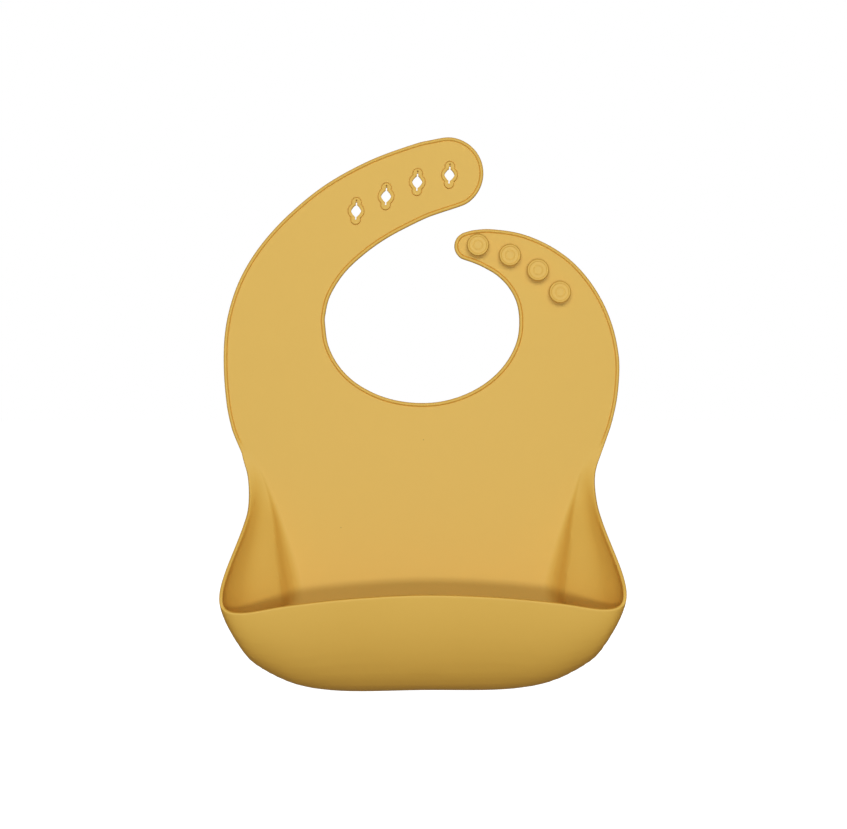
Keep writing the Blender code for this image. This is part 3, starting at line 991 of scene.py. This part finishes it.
@dataclass(frozen=True)
class SlotRim:
    """A thickened rim round a slot, with the keyhole opening through it.

    Attributes:
        node: The frame's node for it.
        body: The frame's body that it moves with.
        lean: How far it leans from upright, in degrees.
        body_radius: The radius of its round middle.
        lobe_radius: The radius of its two lobes.
        lobe_offset: How far above and below the middle the lobes' centres lie.
        hole_half_width: Half of the opening's width.
        hole_half_height: Half of its height, without the slits.
        hole_power: The shape of its sides, 1 for a straight-sided diamond and 2 for an ellipse.
        slit_half_width: Half of a slit's width.
        slit_reach: How far from the middle a slit's end lies.
        relief_radius: The radius of the slit's round end.
        slit_angle: The angle from which the points lie close together, in degrees.
        coarse_step: The angle between the points before it, in degrees.
        back: The rim's back, by y.
        front: The rim's front, by y.
        front_round: The rounding of its front edge, as (how far out, how deep).
        back_round: The rounding of its back edge, likewise.
        hole_round: The bevel of the opening's front edge.
        groove: The width of the groove round the rim.
        groove_depth: The groove's depth.
        overlap: How far the strap reaches in past the rim's edge.
        pit: How far above the middle the blind pit lies.
        pit_radius: The pit's radius.
        pit_depth: The pit's depth.
        pit_step: The angle between the points round the pit, in degrees.
    """

    node: str
    body: str
    lean: float = 3.0
    body_radius: float = 0.0047
    lobe_radius: float = 0.0029
    lobe_offset: float = 0.0049
    hole_half_width: float = 0.0029
    hole_half_height: float = 0.0036
    hole_power: float = 1.35
    slit_half_width: float = 0.00032
    slit_reach: float = 0.0046
    relief_radius: float = 0.00045
    slit_angle: int = 78
    coarse_step: int = 2
    back: float = -0.0001
    front: float = -0.0026
    front_round: Points = ((-0.00050, 0.0), (-0.00028, 0.00009), (-0.00010, 0.00034), (0.0, 0.00070))
    back_round: Points = ((0.0, 0.00025), (-0.00008, 0.00008), (-0.00025, 0.0))
    hole_round: float = 0.00012
    groove: float = 0.00030
    groove_depth: float = 0.00055
    overlap: float = 0.00012
    pit: float = 0.0060
    pit_radius: float = 0.00052
    pit_depth: float = 0.0021
    pit_step: int = 20

    def loop(self, reaches: Callable[[float], float]) -> list[Pair]:
        """Points all round the rim's own centre, close together towards the slits.

        Args:
            reaches: How far the loop lies from the centre, by angle from +x in radians.

        Returns:
            The points as (x, z).
        """
        quarter = [*range(0, self.slit_angle, self.coarse_step), *range(self.slit_angle, 90)]
        half = [*quarter, 90, *[180 - angle for angle in reversed(quarter[1:])]]
        angles = [math.radians(angle + turn) for turn in (0, 180) for angle in half]
        return [(reaches(a) * math.cos(a), reaches(a) * math.sin(a)) for a in angles]

    def outline(self, extra: float = 0.0) -> list[Pair]:
        """The rim's outline about its own centre: a round body with a lobe above and below."""
        body, lobe = self.body_radius + extra, self.lobe_radius + extra
        return self.loop(lambda a: max(body, reach(self.lobe_offset, lobe, a)))

    def opening(self, extra: float = 0.0) -> list[Pair]:
        """Draws a soft diamond with a slit above and below.

        Args:
            extra: How much wider than the opening it is on every side.

        Returns:
            The points about the rim's own centre, as (x, z).
        """

        def reaches(angle: float) -> float:
            """How far the opening reaches in one direction.

            Args:
                angle: The direction, from +x in radians.

            Returns:
                The distance from the centre.
            """
            across = max(abs(math.cos(angle)), LEAST_SHARE)
            up = max(abs(math.sin(angle)), LEAST_SHARE)
            power = self.hole_power
            wide, tall = (across / self.hole_half_width) ** power, (up / self.hole_half_height) ** power
            diamond = (wide + tall) ** (-1 / power)
            slit = min(self.slit_half_width / across, self.slit_reach / up)
            return max(diamond, slit, reach(self.slit_reach, self.relief_radius, angle)) + extra

        return self.loop(reaches)

    def place(self, points: list[Pair], depth: float) -> list[Vector]:
        """Leans points and moves them to where the frame holds the rim.

        Args:
            points: The points about the rim's own centre, as (x, z).
            depth: Where they lie by y.

        Returns:
            The points in the frame.
        """
        low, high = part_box(self.node)
        centre = (low + high) / 2
        turn = math.radians(-self.lean)
        cosine, sine = math.cos(turn), math.sin(turn)
        return [
            Vector((centre.x + x * cosine - z * sine, depth, centre.z + x * sine + z * cosine))
            for x, z in points
        ]

    def ring(self, rows: Iterable[tuple[list[Pair], float]]) -> Mesh:
        """A tube through closed loops about the rim's own centre.

        Args:
            rows: The loops, each with its depth.

        Returns:
            The tube, closed on itself if its last row is its first.
        """
        bm = grid_through([self.place([*points, points[0]], depth) for points, depth in rows])
        bmesh.ops.remove_doubles(bm, verts=bm.verts, dist=MERGE_DISTANCE)
        return bm

    def cutter(self) -> bpy.types.Object:
        """Makes a stepped solid: a shallow, wider groove in the strap's face and a seat right through it.

        Returns:
            The solid, which cuts and isn't rendered.
        """
        floor = self.groove_depth - Sheet.thickness
        rows = (
            (self.outline(self.groove), -BEYOND), (self.outline(self.groove), floor),
            (self.outline(-self.overlap), floor), (self.outline(-self.overlap), BEYOND),
        )
        bm = self.ring(rows)
        bmesh.ops.holes_fill(bm, edges=[edge for edge in bm.edges if edge.is_boundary], sides=0)
        cutter = to_object(f"seat_of_{self.node}", bm, bpy.data.materials[Slot.SHEET.value])
        cutter.hide_render = True
        return cutter

    def drill(self) -> bpy.types.Object:
        """Makes the solid that cuts the blind pit above the opening.

        Returns:
            The solid.
        """
        bm = bmesh.new()
        circle = arc((0, self.pit), self.pit_radius, 0, 360 - self.pit_step, self.pit_step)
        face = bm.faces.new([bm.verts.new(p) for p in self.place(circle, self.front - self.pit_depth)])
        made = bmesh.ops.extrude_face_region(bm, geom=[face])["geom"]
        verts = [item for item in made if isinstance(item, Vert)]
        bmesh.ops.translate(bm, verts=verts, vec=(0, 2 * self.pit_depth, 0))
        return to_object(f"pit_of_{self.node}", bm, bpy.data.materials[Slot.SHEET.value])

    def build(self, material: bpy.types.Material) -> bpy.types.Object:
        """Models the rim.

        Args:
            material: The silicone.

        Returns:
            The rim, riding on its body.
        """
        rows = [
            (self.opening(self.hole_round), self.front),
            *[(self.outline(extra), self.front + deep) for extra, deep in self.front_round],
            *[(self.outline(extra), self.back - deep) for extra, deep in self.back_round],
            (self.opening(), self.back),
            (self.opening(), self.front + self.hole_round),
            (self.opening(self.hole_round), self.front),
        ]
        rim = to_object(f"bib_{self.node}", self.ring(rows), material)
        drill = self.drill()
        open_with(rim, [drill])
        bpy.data.objects.remove(drill, do_unlink=True)
        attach(rim, self.body)
        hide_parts(self.node)
        return rim


SLOT_RIMS = (
    SlotRim("slot_rim_1", "left_strap_c"),
    SlotRim("slot_rim_2", "left_strap_c"),
    SlotRim("slot_rim_3", "left_strap_d"),
    SlotRim("slot_rim_4", "left_strap_d"),
)


@dataclass(frozen=True)
class Stud:
    """A mushroom stud with a rolled rim and a plain ring moulded in its face.

    Attributes:
        node: The frame's node for it.
        body: The frame's body that it moves with.
        section: Half of its section, as (radius, y), from the foot round the head to the middle of the face.
        steps: The straight steps round it.
    """

    node: str
    body: str
    section: Points = (
        (0.0000, -0.0018), (0.0040, -0.0018), (0.0040, -0.0020), (0.00355, -0.00212), (0.00325, -0.0024),
        (0.0032, -0.0028), (0.0032, -0.0042), (0.0034, -0.00445), (0.0039, -0.0046), (0.0054, -0.0047),
        (0.00595, -0.00485), (0.00622, -0.00522), (0.0063, -0.00575), (0.00622, -0.00635),
        (0.00598, -0.00678), (0.00562, -0.0070), (0.00525, -0.00702), (0.00497, -0.00688),
        (0.00482, -0.00668), (0.0047, -0.00662),
        (0.0042, -0.00660), (0.0031, -0.00660), (0.00297, -0.00662), (0.00285, -0.00675), (0.0026, -0.00680),
        (0.00235, -0.00675), (0.00223, -0.00662), (0.0021, -0.00660), (0.0010, -0.00660), (0.0000, -0.00660),
    )
    steps: int = 72

    def build(self, material: bpy.types.Material) -> bpy.types.Object:
        """Turns the stud.

        Args:
            material: The stud's silicone.

        Returns:
            The stud, riding on its body.
        """
        low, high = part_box(self.node)
        centre = (low + high) / 2
        bm = bmesh.new()
        verts = [bm.verts.new((centre.x + radius, y, centre.z)) for radius, y in self.section]
        edges = [bm.edges.new(pair) for pair in zip(verts, verts[1:])]
        bmesh.ops.spin(
            bm, geom=[*verts, *edges], cent=(centre.x, 0, centre.z), axis=(0, 1, 0), angle=2 * math.pi,
            steps=self.steps, use_merge=True,
        )
        bmesh.ops.remove_doubles(bm, verts=bm.verts, dist=MERGE_DISTANCE)
        stud = to_object(f"bib_{self.node}", bm, material)
        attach(stud, self.body)
        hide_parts(self.node)
        return stud


STUDS = (
    Stud("button_1", "right_strap_c"),
    Stud("button_2", "right_strap_c"),
    Stud("button_3", "right_strap_b"),
    Stud("button_4", "right_strap_a"),
)


# ---------------------------------------------------------------- studio


@dataclass(frozen=True)
class Softbox:
    """One rectangular lamp.

    Attributes:
        name: The lamp's name.
        place: Where it hangs.
        size: Its width and height.
        power: Its power, in watts.
    """

    name: str
    place: tuple[float, float, float]
    size: Pair
    power: float

    def hang(self, target: Vector) -> None:
        """Hangs the lamp.

        Args:
            target: The place that it is turned to.
        """
        lamp = bpy.data.lights.new(self.name, "AREA")
        lamp.shape = "RECTANGLE"
        lamp.size, lamp.size_y = self.size
        lamp.energy = self.power
        place = Vector(self.place)
        holder = bpy.data.objects.new(self.name, lamp)
        holder.location = place
        holder.visible_camera = False
        holder.rotation_euler = (target - place).to_track_quat("-Z", "Y").to_euler()
        bpy.context.scene.collection.objects.link(holder)


@dataclass
class Studio:
    """The pale floor, the soft lights and the camera.

    Attributes:
        floor_drop: How far below the object the floor lies.
        floor_size: Half of the floor's width.
        floor_albedo: The floor's grey, as light from it reaches the object.
        camera_place: Where the camera stands, straight in front of the bib.
        lens: The camera's focal length, in millimetres.
        sensor_width: The camera's sensor width, in millimetres.
        view_distance: How far the camera sees.
        softboxes: A low lamp behind the camera, a broad one above it, and one behind the bib.
        ambient: The strength of the room's even light on the object.
    """

    floor_drop: float = 0.120
    floor_size: float = 60.0
    floor_albedo: float = 0.35
    camera_place: tuple[float, float, float] = (0.0003, -0.9, -0.0543)
    lens: float = 66.5
    sensor_width: float = 36.0
    view_distance: float = 200.0
    softboxes: tuple[Softbox, ...] = (
        Softbox("low_softbox", (0.0, -1.55, -0.25), (0.50, 0.14), 7.9),
        Softbox("high_softbox", (0.0, -1.60, 0.66), (1.4, 0.7), 16.8),
        Softbox("back_softbox", (0.3, 1.50, 0.60), (1.2, 0.8), 11.0),
    )
    ambient: float = 0.11

    def floor(self) -> bpy.types.Object:
        """Lays the floor below the object.

        Returns:
            The floor, which the camera sees as plain white.
        """
        bm = bmesh.new()
        bmesh.ops.create_grid(bm, x_segments=1, y_segments=1, size=self.floor_size)
        bmesh.ops.translate(bm, verts=bm.verts, vec=(0, 0, cad_box[0].z - self.floor_drop))
        material = bpy.data.materials.new("pale_floor")
        material.use_nodes = True
        tree = material.node_tree
        shader = tree.nodes["Principled BSDF"]
        shader.inputs["Base Color"].default_value = (*[self.floor_albedo] * 3, 1)
        shader.inputs["Roughness"].default_value = 1.0
        shader.inputs["Specular IOR Level"].default_value = 0.0
        shader.inputs["Emission Color"].default_value = (1, 1, 1, 1)
        wire(tree, [(add(tree, "LightPath"), "Is Camera Ray", shader, "Emission Strength")])
        floor = to_object("floor", bm, material)
        return floor

    def world(self) -> None:
        """Sets the room: white behind the object, and a softer even light on it."""
        world = bpy.data.worlds.new("room")
        world.use_nodes = True
        tree = world.node_tree
        background = tree.nodes["Background"]
        background.inputs["Color"].default_value = (1, 1, 1, 1)
        path = add(tree, "LightPath")
        mix = add(tree, "Mix", data_type="FLOAT", inputs={"A": self.ambient, "B": 1.0})
        wire(tree, ((path, "Is Camera Ray", mix, "Factor"), (mix, "Result", background, "Strength")))
        bpy.context.scene.world = world

    def camera(self) -> None:
        """Places the camera straight in front of the bib."""
        data = bpy.data.cameras.new("camera")
        data.lens = self.lens
        data.sensor_width = self.sensor_width
        data.clip_end = self.view_distance
        camera = bpy.data.objects.new("camera", data)
        camera.location = self.camera_place
        camera.rotation_euler = (math.radians(90), 0, 0)
        bpy.context.scene.collection.objects.link(camera)
        bpy.context.scene.camera = camera

    def build(self) -> None:
        """Builds the whole studio."""
        self.floor()
        for softbox in self.softboxes:
            softbox.hang(Vector((0, 0, self.camera_place[2])))
        self.world()
        self.camera()
        bpy.context.scene.view_settings.view_transform = "Standard"


def main() -> None:
    """Builds the bib's looks and the studio, and reports each piece."""
    grain, lint = moulded_grain_group(), lint_specks_group()
    silicone = SiliconeFinish("silicone", (0.735, 0.465, 0.092), (0.750, 0.480, 0.098)).build(grain, lint)
    # The studs are the same silicone as the sheet: their colour is set a touch paler, a faint painted
    # highlight, and their surface a little glossier.
    stud_silicone = SiliconeFinish(
        "stud_silicone", (0.745, 0.475, 0.100), (0.760, 0.490, 0.105), roughness=0.48, specks=0.0
    ).build(grain, lint)

    skin = Sheet().surface()
    front, back = thicken(skin, Sheet.thickness)
    FRONT_EDGE.shape(skin, front)
    BACK_EDGE.shape(skin, back)
    bmesh.ops.recalc_face_normals(skin, faces=skin.faces)
    cutters = {i + 1: rim.cutter() for i, rim in enumerate(SLOT_RIMS)}
    pieces = [stretch.build(skin, silicone, cutters) for stretch in STRETCHES]
    skin.free()
    for cutter in cutters.values():
        bpy.data.objects.remove(cutter, do_unlink=True)
    pieces += [rim.build(silicone) for rim in SLOT_RIMS]
    pieces += [stud.build(stud_silicone) for stud in STUDS]
    for piece in pieces:
        log.info("%s: %d faces", piece.name, len(piece.data.polygons))
    Studio().build()


if __name__ == "__main__":
    main()
